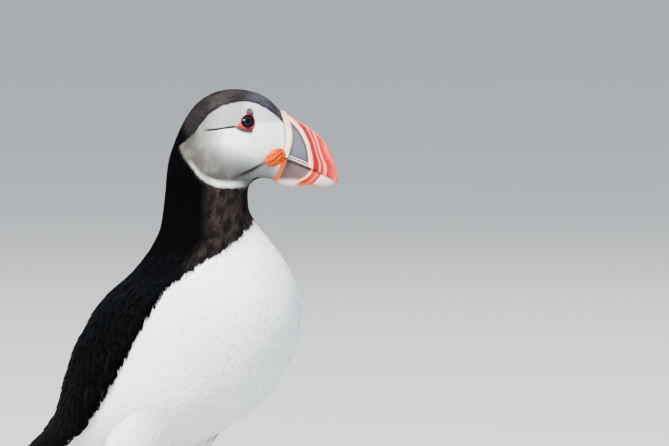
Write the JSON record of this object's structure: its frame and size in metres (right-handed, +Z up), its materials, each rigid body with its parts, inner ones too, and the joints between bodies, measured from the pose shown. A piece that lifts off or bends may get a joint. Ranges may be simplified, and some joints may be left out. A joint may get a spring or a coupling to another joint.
{
  "type": "standing seabird model",
  "caption": "Life-size Atlantic puffin standing alert on webbed feet, head turned to its left, with banded triangular bill, folded wings and short tail",
  "frame": {"origin": "middle of the whole bird's box at the level of the soles", "axes": "the body faces -Y, its left side is +X, and +Z is up; the head is turned 32 degrees towards +X"},
  "size_m": [0.094, 0.1885, 0.2397],
  "materials": {
    "black_plumage": "close black feathers with a faint brown cast",
    "face_plumage": "short pale grey-white feathers, dark grey on the crown",
    "white_plumage": "white breast and belly feathers",
    "bill_red": "grooved red-orange horn with a blue-grey base and pale lines",
    "bill_grey": "grey and red horn with a cream tip",
    "cere_cream": "raised cream ridge at the bill's base",
    "gape_orange": "folded orange skin at the corner of the mouth",
    "leg_orange": "scaly orange-red skin and webs",
    "horn_black": "dark horn",
    "eye_dark": "wet dark eye",
    "eye_plate_grey": "blue-grey horny plates above and below the eye"
  },
  "bodies": {
    "root": {"head": "face_plumage", "neck": "black_plumage", "trunk": "white_plumage", "wing_left": "black_plumage", "wing_right": "black_plumage", "primaries_left": "black_plumage", "primaries_right": "black_plumage", "tail": "black_plumage", "thigh_left": "white_plumage", "thigh_right": "white_plumage", "shank_left": "leg_orange", "shank_right": "leg_orange", "foot_left": "leg_orange", "foot_right": "leg_orange", "claw_inner_left": "horn_black", "claw_middle_left": "horn_black", "claw_outer_left": "horn_black", "claw_inner_right": "horn_black", "claw_middle_right": "horn_black", "claw_outer_right": "horn_black", "eye_left": "eye_dark", "eye_right": "eye_dark", "eye_plate_upper_left": "eye_plate_grey", "eye_plate_upper_right": "eye_plate_grey", "eye_plate_lower_left": "eye_plate_grey", "eye_plate_lower_right": "eye_plate_grey", "gape_rosette_left": "gape_orange", "gape_rosette_right": "gape_orange", "cere": "cere_cream", "bill_upper": "bill_red", "bill_lower": "bill_grey"}
  },
  "joints": []
}
